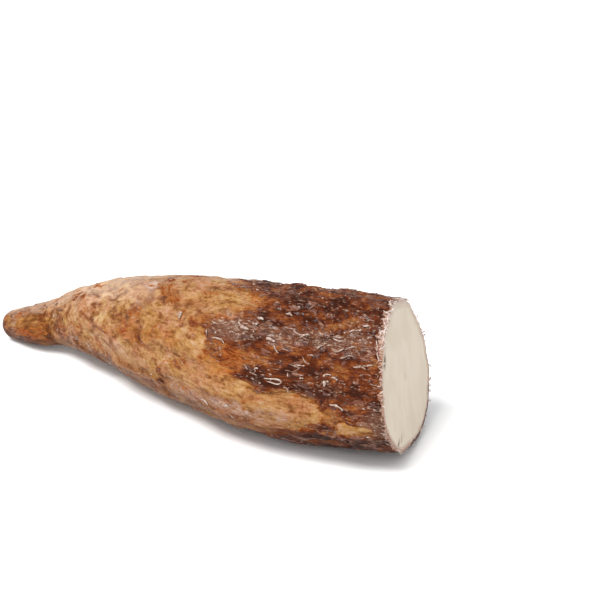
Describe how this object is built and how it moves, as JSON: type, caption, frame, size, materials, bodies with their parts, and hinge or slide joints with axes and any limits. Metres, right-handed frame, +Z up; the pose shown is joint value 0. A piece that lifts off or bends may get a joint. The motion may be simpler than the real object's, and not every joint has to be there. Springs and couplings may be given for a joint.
{
  "type": "cassava root",
  "caption": "Tapered lower half of a cassava root with rough brown bark, a blunt tip and one flat knife cut that shows cream flesh, lying on its side.",
  "frame": {"origin": "on the surface that the root rests on, below the middle of its bounding box", "axes": "+X along the root from the blunt tip to the cut face, +Z up from the surface it lies on, +Y sideways"},
  "size_m": [0.2214, 0.0748, 0.0672],
  "materials": {
    "bark": "rough brown bark with patches of tan under-bark and a thin coat of wax; the cut face is matt cream flesh inside a thin peel"
  },
  "bodies": {
    "root": {"cassava_root": "bark"}
  },
  "joints": []
}
